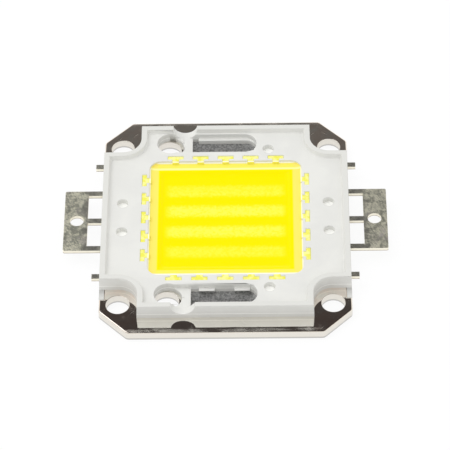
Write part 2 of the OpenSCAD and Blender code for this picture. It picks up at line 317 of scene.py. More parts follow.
@dataclass(frozen=True)
class NickelPlating(Finish):
    """Bright nickel on stamped copper: matt in the frame's windows, burnished on the cut sides."""

    window_x: float
    window_y: float
    edge_y: float
    thickness: float
    bright: Colour = (0.97, 0.945, 0.88, 1.0)
    # painted reflection: a warm tint that browns what the mirror margin reflects towards both ends
    corner_reflection_tint: Colour = (0.98, 0.89, 0.81, 1.0)
    corner_x: float = 14.0 * MM
    matt_dark: Colour = (0.32, 0.325, 0.33, 1.0)
    matt_pale: Colour = (0.60, 0.60, 0.605, 1.0)
    cut: Colour = (0.83, 0.795, 0.73, 1.0)
    cut_low: Colour = (0.56, 0.55, 0.53, 1.0)
    scratch_turns: tuple = (0.62, -0.8)
    roll_slope: float = 0.97
    seat_x: float = -9.2 * MM
    seat_y: float = 18.5 * MM
    seat_half_x: float = 2.3 * MM
    seat_half_y: float = 0.7 * MM
    seat_rough: float = 0.7
    side_rough: float = 0.36
    window_fade: float = 0.1 * MM
    corner_fade: float = 0.4 * MM
    mottle_grain: float = 0.34 * MM
    mottle_depth: float = 0.03 * MM
    smudge_grain: float = 2.2 * MM
    worn_band: tuple = (0.95 * MM, 0.6 * MM)
    chip_grain: float = 0.9 * MM
    scratch_grain: float = 0.16 * MM
    reflection_tint_grain: float = 1.8 * MM
    wave_grain: float = 3.2 * MM
    wave_depth: float = 0.006 * MM
    drag_grain: float = 0.25 * MM
    drag_depth: float = 0.0006 * MM

    def wire(self, wiring: Wiring, place: Socket) -> dict[str, Feed]:
        """Feeds of the shader: mirror margin, matt windows, cut sides, wear, scratches and a painted
        reflection tint towards both ends.
        """
        x, y, z = wiring.parts(place)
        far_x, far_y = wiring.size(x), wiring.size(y)
        window = wiring.times(
            wiring.spread(far_x, self.window_x, self.window_x + self.window_fade, 1.0, 0.0),
            wiring.spread(far_y, self.window_y, self.window_y + self.window_fade, 1.0, 0.0))
        mottle = wiring.noise(place, self.mottle_grain, 3.0, 0.5)
        smudge = wiring.spread(wiring.noise(place, self.smudge_grain, 3.0, 1.2), 0.5, 0.75, 0.04, 0.17)
        worn = wiring.spread(far_y, *(self.edge_y - inset for inset in self.worn_band))
        chips = wiring.noise(wiring.mapped(place, 0.0, (0.3, 1.0, 1.0)), self.chip_grain, 3.0, 0.4)
        rough = wiring.plus(smudge, wiring.times(worn, wiring.spread(chips, 0.35, 0.65, 0.06, 0.26)))
        for turn in self.scratch_turns:
            streak = wiring.noise(wiring.mapped(place, turn, (0.05, 1.0, 1.0)), self.scratch_grain, 1.0)
            rough = wiring.plus(rough, wiring.spread(streak, 0.72, 0.80, 0.0, 0.25))
        rough = self.choose(wiring, window, rough, wiring.spread(mottle, 0.3, 0.7, 0.4, 0.62))
        seat = wiring.times(self.inside(wiring, x, self.seat_x, self.seat_half_x),
                            self.inside(wiring, y, self.seat_y, self.seat_half_y))
        rough = self.choose(wiring, seat, rough, self.seat_rough)
        side = self.upright(wiring, self.roll_slope)
        rough = self.choose(wiring, side, rough, self.side_rough)
        low = wiring.spread(z, 0.12 * self.thickness, 0.3 * self.thickness, 1.0, 0.0)
        matt = wiring.blend(wiring.spread(mottle, 0.36, 0.62), self.matt_dark, self.matt_pale)
        # painted reflection tint: warm blotches towards both ends of the plate
        corner = wiring.spread(far_x, self.corner_x - self.corner_fade, self.corner_x + self.corner_fade)
        blotch_tone = wiring.spread(wiring.noise(place, self.reflection_tint_grain, 2.0), 0.3, 0.6)
        bright = wiring.blend(wiring.times(corner, blotch_tone), self.bright, self.corner_reflection_tint)
        plating = wiring.blend(window, bright, matt)
        waves = wiring.bump(wiring.noise(place, self.wave_grain, 1.0), self.wave_depth)
        drag = wiring.noise(wiring.mapped(place, 0.05, (0.08, 1.0, 1.0)), self.drag_grain, 2.0)
        return {
            "Base Color": wiring.blend(side, plating, wiring.blend(low, self.cut, self.cut_low)),
            "Metallic": 1.0,
            "Roughness": rough,
            "Normal": wiring.bump(wiring.times(mottle, window), self.mottle_depth,
                                  wiring.bump(drag, self.drag_depth, waves)),
        }


@dataclass(frozen=True)
class TinnedStrip(Finish):
    """Dull tin on punched copper: fine slanting lines, stains, and darker legs."""

    leg_x: float
    low_z: float
    pale: Colour = (0.97, 0.97, 0.82, 1.0)
    blotch_tone: Colour = (0.46, 0.48, 0.41, 1.0)
    rosy: Colour = (0.80, 0.76, 0.74, 1.0)
    leg: Colour = (0.29, 0.29, 0.27, 1.0)
    sheared: Colour = (0.97, 0.93, 0.80, 1.0)
    side_bottom_tone: Colour = (0.50, 0.44, 0.37, 1.0)
    line_turn: float = math.radians(-41)
    line_grain: float = 0.12 * MM
    blotch_grain: float = 1.6 * MM
    tint_grain: float = 2.6 * MM
    ragged: float = 3 * MM
    leg_fade: tuple = (-0.3 * MM, 1.1 * MM)
    side_bottom_fade: tuple = (0.13 * MM, 0.22 * MM)
    relief: float = 0.012 * MM

    def wire(self, wiring: Wiring, place: Socket) -> dict[str, Feed]:
        """Feeds of the shader, from stains, fine slanting lines, dark legs and the cut edges, which darken
        along their bottom.
        """
        x, _, z = wiring.parts(place)
        blotch = wiring.noise(place, self.blotch_grain, 4.0, 0.8)
        tint = wiring.noise(place, self.tint_grain, 2.0, 0.6)
        lines = wiring.noise(wiring.mapped(place, self.line_turn, (1.0, 0.2, 1.0)), self.line_grain, 3.0)
        both = wiring.plus(wiring.times(blotch, 0.4), wiring.times(lines, 0.6))
        face = wiring.blend(wiring.spread(both, 0.42, 0.57), self.blotch_tone, self.pale)
        face = wiring.blend(wiring.spread(tint, 0.52, 0.72, 0.0, 0.6), face, self.rosy)
        reach = wiring.plus(wiring.size(x), wiring.times(wiring.minus(blotch, 0.5), self.ragged))
        on_leg = wiring.spread(reach, *(self.leg_x + past for past in self.leg_fade), 1.0, 0.0)
        # the legs get a darker tone
        darker_leg = wiring.times(on_leg, wiring.spread(lines, 0.3, 0.6, 1.0, 0.7))
        face = wiring.blend(darker_leg, face, self.leg)
        # the cut sides darken along their bottom edge
        at_side_bottom = wiring.spread(z, *(self.low_z + up for up in self.side_bottom_fade), 1.0, 0.0)
        side = wiring.blend(at_side_bottom, self.sheared, self.side_bottom_tone)
        return {
            "Base Color": wiring.blend(self.upright(wiring), face, side),
            "Metallic": 1.0,
            "Roughness": wiring.spread(blotch, 0.3, 0.7, 0.40, 0.52),
            "Normal": wiring.bump(both, self.relief),
        }


@dataclass(frozen=True)
class PhosphorSilicone(Finish):
    """Yellow phosphor silicone: deep in the pit, thinner over the ledge, paler over each die."""

    pit: float
    row: float
    row_pitch: float
    die_half: float
    last_die: float
    wall: float
    deep: Colour = (0.985, 0.85, 0.0, 1.0)
    over_die: Colour = (0.995, 0.955, 0.095, 1.0)
    thin: Colour = (0.97, 0.875, 0.125, 1.0)
    over_strip: Colour = (1.0, 0.84, 0.16, 1.0)
    # painted highlight along the rear bank
    rear_bank_highlight: Colour = (1.0, 0.97, 0.36, 1.0)
    # climb: partly the thin film on the white wall, partly painted highlight and painted light against the
    # shade at the wall
    climb: Colour = (1.0, 0.98, 0.86, 1.0)
    tongue: Colour = (0.88, 0.85, 0.12, 1.0)
    tongue_pale: Colour = (0.97, 0.94, 0.34, 1.0)
    halo: float = 1.05 * MM
    sunk: float = 0.25 * MM
    outer_rows: float = 0.55
    wander: float = 0.9 * MM
    wander_grain: float = 0.5 * MM
    speckle_grain: float = 0.45 * MM
    blotch_grain: float = 0.7 * MM
    ripple_grain: float = 0.8 * MM
    ripple_depth: float = 0.004 * MM

    def wire(self, wiring: Wiring, place: Socket) -> dict[str, Feed]:
        """Feeds of the shader, from the depth of silicone and the dies under it, with painted highlights
        along the rear bank and the wall.
        """
        x, y, _ = wiring.parts(place)
        far_x = wiring.size(x)
        reach = wiring.math("MAXIMUM", far_x, wiring.size(y))
        ring = wiring.spread(reach, self.pit - 0.1 * MM, self.pit + 0.15 * MM)
        field = wiring.blend(self.light(wiring, place), self.deep, self.over_die)
        sides = self.line(wiring, far_x, self.pit, (0.0, 0.3, 0.9, 1.4))
        rim = wiring.blend(sides, self.thin, self.over_strip)
        # painted highlights: a pale line at the rear where the silicone dips into the pit, and a pale band
        # where it climbs the wall
        rim = wiring.blend(self.line(wiring, y, self.pit, (0.0, 0.12, 0.35, 0.6)), rim, self.rear_bank_highlight)
        # painted highlight: a wide pale band along the front lip
        front = wiring.spread(wiring.times(y, -1.0), self.wall - 0.8 * MM, self.wall - 0.6 * MM)
        # thin film at the wall, its tone lifted as painted light against the shade there
        climb_film_and_highlight = wiring.spread(reach, self.wall - 0.25 * MM, self.wall - 0.08 * MM)
        rim = wiring.blend(wiring.math("MAXIMUM", front, climb_film_and_highlight), rim, self.climb)
        blotch = wiring.spread(wiring.noise(place, self.blotch_grain, 2.0), 0.35, 0.65)
        beyond = wiring.math("GREATER_THAN", reach, self.wall)
        rim = wiring.blend(beyond, rim, wiring.blend(blotch, self.tongue, self.tongue_pale))
        return {
            "Base Color": wiring.blend(ring, field, rim),
            "Roughness": 0.16,
            "IOR": 1.42,
            "Specular IOR Level": 0.12,
            "Normal": wiring.bump(wiring.noise(place, self.ripple_grain, 2.0), self.ripple_depth),
        }

    def light(self, wiring: Wiring, place: Socket) -> Socket:
        """Share of the paler tone that the rows of dies give to the silicone above them."""
        x, y, _ = wiring.parts(place)
        far_x, far_y = wiring.size(x), wiring.size(y)
        # the rows lie below the surface, so they are met a little further to the front
        from_row = self.nearest(wiring, wiring.plus(y, self.sunk), self.row, self.row_pitch)
        pull = wiring.minus(wiring.noise(place, self.wander_grain, 2.0), 0.5)
        ragged = wiring.plus(from_row, wiring.times(pull, self.wander))
        band = wiring.spread(ragged, self.die_half, self.die_half + self.halo, 1.0, 0.0)
        outer = wiring.spread(far_y, self.row_pitch, self.row, 1.0, self.outer_rows)
        ends = wiring.spread(far_x, self.last_die - 0.7 * MM, self.last_die + 0.9 * MM, 1.0, 0.0)
        last = wiring.spread(far_y, self.row + self.halo, self.row + 1.8 * self.halo, 1.0, 0.0)
        speckle = wiring.spread(wiring.noise(place, self.speckle_grain, 2.0), 0.3, 0.65, 0.45, 1.0)
        return wiring.times(wiring.times(wiring.times(band, outer), wiring.times(ends, last)), speckle)

    def line(self, wiring: Wiring, value: Socket, start: float, steps: tuple) -> Socket:
        """Share that rises between the first two steps, in mm past start, and falls between the last."""
        rise, full, hold, end = (start + step * MM for step in steps)
        return wiring.times(wiring.spread(value, rise, full), wiring.spread(value, hold, end, 1.0, 0.0))

    def nearest(self, wiring: Wiring, value: Socket, last: float, pitch: float) -> Socket:
        """Distance to the nearest of several evenly spaced lines.

        Args:
            wiring: the material's tree.
            value: place along the axis across the lines.
            last: place of the last line.
            pitch: distance between neighbouring lines.

        Returns:
            The distance, never less than 0.
        """
        along = wiring.plus(value, last + 0.5 * pitch)
        return wiring.size(wiring.minus(wiring.math("MODULO", along, pitch), 0.5 * pitch))


@dataclass(frozen=True)
class SapphireDie(Finish):
    """Polished sapphire with a faint green-blue cast."""

    colour: Colour = (0.62, 0.72, 0.58, 1.0)

    def wire(self, wiring: Wiring, place: Socket) -> dict[str, Feed]:
        """Feeds of the shader, with a slight change of tone from die to die."""
        tone = wiring.noise(place, 2.0 * MM, 0.0)
        return {
            "Base Color": wiring.blend(tone, self.colour, self.deeper(self.colour)),
            "Roughness": 0.08,
            "IOR": 1.77,
            "Transmission Weight": 0.35,
        }


@dataclass(frozen=True)
class DieAdhesive(Finish):
    """Pale cured silicone adhesive."""

    colour: Colour = (0.72, 0.72, 0.69, 1.0)

    def wire(self, wiring: Wiring, place: Socket) -> dict[str, Feed]:
        """Feeds of the shader, slightly lumpy."""
        lumps = wiring.noise(place, 0.1 * MM, 2.0)
        return {
            "Base Color": wiring.blend(lumps, self.colour, self.deeper(self.colour)),
            "Roughness": 0.45,
            "Normal": wiring.bump(lumps, 0.004 * MM),
        }


@dataclass(frozen=True)
class GoldWire(Finish):
    """Bright drawn gold."""

    colour: Colour = (0.95, 0.70, 0.30, 1.0)

    def wire(self, wiring: Wiring, place: Socket) -> dict[str, Feed]:
        """Feeds of the shader, with fine drawing marks."""
        marks = wiring.noise(place, 0.02 * MM, 1.0)
        return {
            "Base Color": self.colour,
            "Metallic": 1.0,
            "Roughness": wiring.spread(marks, 0.3, 0.7, 0.16, 0.3),
            "Normal": wiring.bump(marks, 0.0005 * MM),
        }


# ---------------------------------------------------------------- meshes


def new_piece(name: str, mesh: bpy.types.Mesh) -> bpy.types.Object:
    """Object at the origin that holds a mesh, linked into the scene."""
    piece = bpy.data.objects.new(name, mesh)
    bpy.context.scene.collection.objects.link(piece)
    return piece


def fresh_tree(owner: bpy.types.Material | bpy.types.World) -> Wiring:
    """Switch an owner's nodes on and empty them."""
    owner.use_nodes = True
    owner.node_tree.nodes.clear()
    return Wiring(owner.node_tree)


def mesh_from(form: bmesh.types.BMesh, name: str) -> bpy.types.Mesh:
    """Mesh of the given name made from an edited form."""
    mesh = bpy.data.meshes.new(name)
    form.to_mesh(mesh)
    form.free()
    return mesh


def dress(piece: bpy.types.Object, finish: bpy.types.Material) -> None:
    """Give a piece one finish in place of what it had."""
    piece.data.materials.clear()
    piece.data.materials.append(finish)


def settle(piece: bpy.types.Object) -> None:
    """Turn a piece's modifiers into plain mesh."""
    graph = bpy.context.evaluated_depsgraph_get()
    mesh = bpy.data.meshes.new_from_object(
        piece.evaluated_get(graph), preserve_all_data_layers=True, depsgraph=graph)
    piece.modifiers.clear()
    piece.data = mesh


def smooth_normals(piece: bpy.types.Object, sharp: float = math.radians(38)) -> None:
    """Shade a piece smooth between its sharp edges, with its flats left flat.

    Args:
        piece: the piece, with plain mesh.
        sharp: angle between two faces from which their edge stays sharp.
    """
    piece.data.polygons.foreach_set("use_smooth", [True] * len(piece.data.polygons))
    piece.data.set_sharp_from_angle(angle=sharp)
    weighted = piece.modifiers.new("flats", "WEIGHTED_NORMAL")
    weighted.keep_sharp = True
    settle(piece)


def mount(piece: bpy.types.Object, slot: Slot, *nodes: str) -> None:
    """Hand a finished piece to the frame.

    Args:
        piece: the piece, at its place.
        slot: the record's slot that it takes its finish from.
        nodes: the CAD nodes that it stands for.
    """
    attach(piece, BODY)
    if nodes:
        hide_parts(*nodes)
    log.info("%s: %d faces, in %s", piece.name, len(piece.data.polygons), slot.value)


EdgeRadius = Callable[[bmesh.types.BMEdge], float]


@dataclass
class SoftenedSolid:
    """A rigid solid of the frame, made again with rounded edges."""

    node: str
    name: str
    radius: EdgeRadius
    segments: int = 3
    reshape: Callable[[Vector], Vector] | None = None

    MERGE = 0.002 * MM
    FLAT = math.radians(0.4)
    SHARP = math.radians(25)
    COLLINEAR = math.cos(math.radians(40))
    ROOM = 0.4

    def build(self) -> bpy.types.Object:
        """Build the piece."""
        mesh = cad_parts[self.node].data.copy()
        mesh.name = self.name
        form = bmesh.new()
        form.from_mesh(mesh)
        bmesh.ops.remove_doubles(form, verts=form.verts, dist=self.MERGE)
        bmesh.ops.dissolve_limit(form, angle_limit=self.FLAT, verts=form.verts, edges=form.edges)
        if self.reshape is not None:
            for corner in form.verts:
                corner.co = self.reshape(corner.co)
        widest = self.weigh(form)
        form.to_mesh(mesh)
        form.free()
        piece = new_piece(self.name, mesh)
        bevel = piece.modifiers.new("edges", "BEVEL")
        bevel.width = widest
        bevel.segments = self.segments
        bevel.limit_method = "WEIGHT"
        bevel.use_clamp_overlap = False
        settle(piece)
        smooth_normals(piece)
        return piece

    def weigh(self, form: bmesh.types.BMesh) -> float:
        """Give each sharp edge its share of the widest rounding.

        Args:
            form: the solid, merged and with its flats dissolved.

        Returns:
            The widest rounding, in metres.
        """
        weight = form.edges.layers.float.new("bevel_weight_edge")
        radii = {}
        for edge in form.edges:
            if edge.is_manifold and edge.calc_face_angle(0.0) > self.SHARP:
                radii[edge] = min(self.radius(edge), self.room(edge))
        widest = max(radii.values())
        for edge, radius in radii.items():
            edge[weight] = max(radius, 0.0) / widest
        return widest

    def room(self, edge: bmesh.types.BMEdge) -> float:
        """Widest rounding that the edges beside this one leave room for."""
        along = (edge.verts[1].co - edge.verts[0].co).normalized()
        limit = math.inf
        for corner in edge.verts:
            for other in corner.link_edges:
                if other is edge:
                    continue
                run = other.other_vert(corner).co - corner.co
                if run.length > 0 and abs(run.normalized().dot(along)) < self.COLLINEAR:
                    limit = min(limit, self.ROOM * run.length)
        return limit


# ---------------------------------------------------------------- sub-assemblies


@dataclass
class BasePlate:
    """Stamped plate: its upper edges are rolled over by the punch, its lower ones are crisp."""

    roll: float = 0.26 * MM
    crisp: float = 0.05 * MM
    window_x: float = 6.2 * MM
    window_inset: float = 0.5 * MM
    side_band: float = 1.0 * MM
    chamfer_band: float = 5.0 * MM
    level: float = 0.02 * MM

    def build(self) -> bpy.types.Object:
        """Build and dress the plate."""
        low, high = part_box("base_plate")
        reach_x = high.x - self.side_band
        chamfer_sum = high.x + high.y - self.chamfer_band

        def radius(edge: bmesh.types.BMEdge) -> float:
            """Rounding of one edge of the plate."""
            middle = (edge.verts[0].co + edge.verts[1].co) / 2
            on_top = all(corner.co.z > high.z - self.level for corner in edge.verts)
            outer = (abs(middle.x) > reach_x or abs(middle.y) > high.y - self.level
                     or abs(middle.x) + abs(middle.y) > chamfer_sum)
            return self.roll if on_top and outer else self.crisp

        piece = SoftenedSolid("base_plate", "plated_base", radius, 4).build()
        window_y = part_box("housing")[1].y - self.window_inset
        plating = NickelPlating(Slot.NICKEL, self.window_x, window_y, high.y, high.z - low.z)
        dress(piece, plating.material())
        mount(piece, Slot.NICKEL, "base_plate")
        return piece


@dataclass
class Housing:
    """White moulded frame, with its edges broken as a mould leaves them."""

    edge: float = 0.1 * MM
    seat: float = 0.0
    entry: float = 0.03 * MM
    pin_floor_depth: float = 1.8 * MM
    tooth_from_end: float = 4.75 * MM
    tooth_w: float = 0.65 * MM
    near: float = 0.03 * MM
    level: float = 0.02 * MM
    mouth: float = 0.2 * MM

    def build(self) -> bpy.types.Object:
        """Build and dress the frame."""
        plate_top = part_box("base_plate")[1].z
        strip_low, strip_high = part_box("right_leadframe")
        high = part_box("housing")[1]
        wall = high.x - self.mouth

        def radius(edge: bmesh.types.BMEdge) -> float:
            """Rounding of one edge of the moulding."""
            heights = [corner.co.z for corner in edge.verts]
            if min(heights) < plate_top + self.level:
                return self.seat
            beside_strip = (min(heights) > strip_low.z - self.level
                            and max(heights) < strip_high.z + self.level)
            if beside_strip and all(abs(corner.co.x) > wall for corner in edge.verts):
                return self.entry
            return self.edge

        tooth_y = high.y - self.tooth_from_end

        def undercut(corner: Vector) -> Vector:
            """Foot of a window's tooth, drawn back to the wall that the tooth grows from."""
            at_foot = corner.z < plate_top + self.near and abs(abs(corner.y) - tooth_y) < self.near
            back = math.copysign(self.tooth_w - self.near, corner.y) if at_foot else 0.0
            return Vector((corner.x, corner.y - back, corner.z))

        piece = SoftenedSolid("housing", "moulded_frame", radius, reshape=undercut).build()
        pin_floor = high.z - self.pin_floor_depth
        dress(piece, MouldedPlastic(Slot.MOULDING, pin_floor, high.z).material())
        mount(piece, Slot.MOULDING, "housing")
        return piece


@dataclass
class Terminal:
    """One punched leadframe, with its edges deburred."""

    side: Side
    edge: float = 0.05 * MM

    def build(self, finish: bpy.types.Material) -> bpy.types.Object:
        """Build and dress the leadframe.

        Args:
            finish: the tinned finish that both terminals share.

        Returns:
            The piece.
        """
        name = self.side.name.lower()
        piece = SoftenedSolid(f"{name}_leadframe", f"{name}_terminal", lambda edge: self.edge, 2).build()
        dress(piece, finish)
        mount(piece, Slot.STRIP, f"{name}_leadframe")
        return piece


@dataclass
class LightField:
    """Cast silicone: a shallow dish in the pit, a film over the ledge and a climb up the wall."""

    ledge: float = 1.5 * MM
    wall_r: float = 1.8 * MM
    pit_r: float = 0.5 * MM
    wall_gap: float = 0.004 * MM
    climb: float = 0.32 * MM
    climb_run: float = 0.24 * MM
    film: float = 0.11 * MM
    dip: float = 0.26 * MM
    dip_start: float = 1.6 * MM
    bank: float = 1.0 * MM
    corner_steps: int = 10
    insets: tuple = (0.0, 0.06, 0.13, 0.22, 0.34, 0.5, 0.7, 0.95, 1.2, 1.38, 1.5, 1.6, 1.72, 1.85,
                     2.0, 2.15, 2.3, 2.5, 3.2, 4.5, 6.5, 9.0, 11.0)

    def build(self) -> None:
        """Build and dress the silicone."""
        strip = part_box("left_leadframe")[1]
        self.pit = -strip.x
        self.ledge_z = strip.z
        self.floor_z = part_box("base_plate")[1].z
        self.top_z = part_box("phosphor_fill")[1].z
        finish = self.finish()
        body = self.body()
        body.data.materials.append(finish)
        mount(body, Slot.SILICONE, "phosphor_fill")
        anchors = SiliconeAnchors(self.pit + self.ledge, self.ledge_z, self.top_z).build(finish)
        mount(anchors, Slot.SILICONE)

    def finish(self) -> bpy.types.Material:
        """The phosphor silicone, told where the dies are."""
        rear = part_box("die_row_1")
        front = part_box(f"die_row_{DIE_ROWS}")
        row = (rear[0].y + rear[1].y) / 2
        row_pitch = (row - (front[0].y + front[1].y) / 2) / (DIE_ROWS - 1)
        die_half = (rear[1].y - rear[0].y) / 2
        last_die = rear[1].x - die_half
        return PhosphorSilicone(Slot.SILICONE, self.pit, row, row_pitch, die_half, last_die,
                                self.pit + self.ledge).material()

    def height(self, inset: float) -> float:
        """Height of the silicone over the ledge, at a distance in from the wall of the well."""
        up = self.climb * math.exp(-inset / self.climb_run)
        share = min(max((inset - self.dip_start) / self.bank, 0.0), 1.0)
        down = self.dip * share * share * (3 - 2 * share)
        return self.ledge_z + self.film + up - down

    def outline(self, inset: float, z: float) -> list[Vector]:
        """Rounded square at a distance in from the wall of the well.

        Args:
            inset: distance in from the wall.
            z: height of the outline.

        Returns:
            Its points, anticlockwise from above.
        """
        half = self.pit + self.ledge - self.wall_gap - inset
        share = min(inset / self.ledge, 1.0)
        radius = min(self.wall_r + (self.pit_r - self.wall_r) * share, half)
        points = []
        for quarter in range(4):
            for step in range(self.corner_steps + 1):
                turn = math.radians(90 * (quarter + step / self.corner_steps))
                sign_x = 1 if quarter in (0, 3) else -1
                sign_y = 1 if quarter in (0, 1) else -1
                points.append(Vector((sign_x * (half - radius) + radius * math.cos(turn),
                                      sign_y * (half - radius) + radius * math.sin(turn), z)))
        return points

    def body(self) -> bpy.types.Object:
        """Mesh of the silicone in the well, closed underneath."""
        under = [(0.0, self.ledge_z), (self.ledge, self.ledge_z), (self.ledge, self.floor_z)]
        loops = [self.outline(inset, z) for inset, z in reversed(under)]
        loops += [self.outline(inset * MM, self.height(inset * MM)) for inset in self.insets]
        form = bmesh.new()
        rings = [[form.verts.new(point) for point in loop] for loop in loops]
        for lower, upper in zip(rings, rings[1:]):
            for i, corner in enumerate(lower):
                following = (i + 1) % len(lower)
                form.faces.new((corner, lower[following], upper[following], upper[i]))
        form.faces.new(rings[0])
        form.faces.new(rings[-1])
        bmesh.ops.recalc_face_normals(form, faces=form.faces)
        piece = new_piece("light_field", mesh_from(form, "light_field"))
        smooth_normals(piece)
        return piece


class GeometryTree:
    """A geometry tree with named inputs, used once to make a plain mesh."""

    SOCKETS = {float: "NodeSocketFloat", int: "NodeSocketInt", bpy.types.Material: "NodeSocketMaterial"}

    def __init__(self, name: str, inputs: dict[str, float | int | bpy.types.Material]) -> None:
        """Start a tree.

        Args:
            name: name of the tree.
            inputs: the tree's named inputs, with the value of each.
        """
        self.values = inputs
        self.tree = bpy.data.node_groups.new(name, "GeometryNodeTree")
        self.identifiers = {}
        for label, value in inputs.items():
            kind = next(text for known, text in self.SOCKETS.items() if isinstance(value, known))
            made = self.tree.interface.new_socket(name=label, in_out="INPUT", socket_type=kind)
            self.identifiers[label] = made.identifier
        self.tree.interface.new_socket(name="Geometry", in_out="OUTPUT", socket_type="NodeSocketGeometry")
        self.wiring = Wiring(self.tree)
        self.given = self.wiring.node("NodeGroupInput").outputs

    def moved(self, geometry: Socket, by: Socket) -> Socket:
        """Geometry moved by a vector."""
        feeds = {"Geometry": geometry, "Translation": by}
        return self.wiring.node("GeometryNodeTransform", feeds).outputs[0]

    def block(self, size: Sequence[Socket], z: Socket, x: Feed = 0.0) -> Socket:
        """Box of the given size whose middle is at z and x."""
        cube = self.wiring.node("GeometryNodeMeshCube", {"Size": self.wiring.vector(*size)})
        return self.moved(cube.outputs[0], self.wiring.vector(x=x, z=z))

    def painted(self, geometry: Socket, finish: Socket) -> Socket:
        """Geometry in one finish."""
        feeds = {"Geometry": geometry, "Material": finish}
        return self.wiring.node("GeometryNodeSetMaterial", feeds).outputs[0]

    def placed(self, points: Socket, instance: Socket, turn: Feed = (0.0, 0.0, 0.0)) -> Socket:
        """One instance on each point, turned as given."""
        feeds = {"Points": points, "Instance": instance, "Rotation": turn}
        return self.wiring.node("GeometryNodeInstanceOnPoints", feeds).outputs[0]

    def plain(self, instances: Socket) -> Socket:
        """Instances made into plain mesh."""
        return self.wiring.node("GeometryNodeRealizeInstances", {0: instances}).outputs[0]

    def finish(self, geometry: Socket) -> None:
        """End the tree on the given geometry."""
        self.wiring.node("NodeGroupOutput", {0: geometry})

    def bake(self, name: str) -> bpy.types.Object:
        """Run the tree and keep its result as a plain mesh.

        Args:
            name: name of the new piece.

        Returns:
            The piece.
        """
        piece = new_piece(name, bpy.data.meshes.new(name))
        modifier = piece.modifiers.new("tree", "NODES")
        modifier.node_group = self.tree
        for label, value in self.values.items():
            modifier[self.identifiers[label]] = value
        settle(piece)
        return piece


@dataclass
class SiliconeAnchors:
    """The T-shaped tongues of silicone that run from the well into pockets in the deck."""

    well: float
    low: float
    high: float
    count: int = 5
    pitch: float = 4.1 * MM
    bar_l: float = 2.59 * MM
    bar_w: float = 0.74 * MM
    stem_w: float = 1.09 * MM
    stem_l: float = 0.45 * MM
    root: float = 0.3 * MM
    edge: float = 0.08 * MM

    def build(self, finish: bpy.types.Material) -> bpy.types.Object:
        """Build the tongues on all four sides.

        Args:
            finish: the silicone.

        Returns:
            The piece.
        """
        tree = GeometryTree("anchor_tongues", {
            "Count": self.count, "Pitch": self.pitch, "Well": self.well, "Low": self.low,
            "High": self.high, "Bar length": self.bar_l, "Bar width": self.bar_w,
            "Stem width": self.stem_w, "Stem length": self.stem_l, "Root": self.root,
            "Finish": finish,
        })
        wiring, given = tree.wiring, tree.given
        thick = wiring.minus(given["High"], given["Low"])
        middle = wiring.plus(given["Low"], wiring.times(thick, 0.5))
        bar_x = wiring.plus(wiring.plus(given["Well"], given["Stem length"]),
                            wiring.times(given["Bar width"], 0.5))
        bar = tree.block((given["Bar width"], given["Bar length"], thick), middle, bar_x)
        start = wiring.minus(given["Well"], given["Root"])
        stem_run = wiring.minus(bar_x, start)
        stem_x = wiring.plus(start, wiring.times(stem_run, 0.5))
        stem = tree.block((stem_run, given["Stem width"], thick), middle, stem_x)
        union = wiring.node("GeometryNodeMeshBoolean", operation="UNION", solver="EXACT")
        wiring.tree.links.new(bar, union.inputs["Mesh 2"])
        wiring.tree.links.new(stem, union.inputs["Mesh 2"])
        first = wiring.times(wiring.minus(given["Count"], 1), -0.5)
        row = wiring.node("GeometryNodeMeshLine", {
            "Count": given["Count"],
            "Start Location": wiring.vector(y=wiring.times(first, given["Pitch"])),
            "Offset": wiring.vector(y=given["Pitch"])})
        side = tree.placed(row.outputs[0], union.outputs[0])
        hub = wiring.node("GeometryNodeMeshLine", {"Count": 4, "Offset": (0.0, 0.0, 0.0)})
        turn = wiring.times(wiring.node("GeometryNodeInputIndex").outputs[0], math.pi / 2)
        ring = tree.placed(hub.outputs[0], side, wiring.vector(z=turn))
        tree.finish(tree.painted(tree.plain(ring), given["Finish"]))
        piece = tree.bake("anchor_tongues")
        bevel = piece.modifiers.new("edges", "BEVEL")
        bevel.width = self.edge
        bevel.segments = 3
        settle(piece)
        smooth_normals(piece)
        return piece


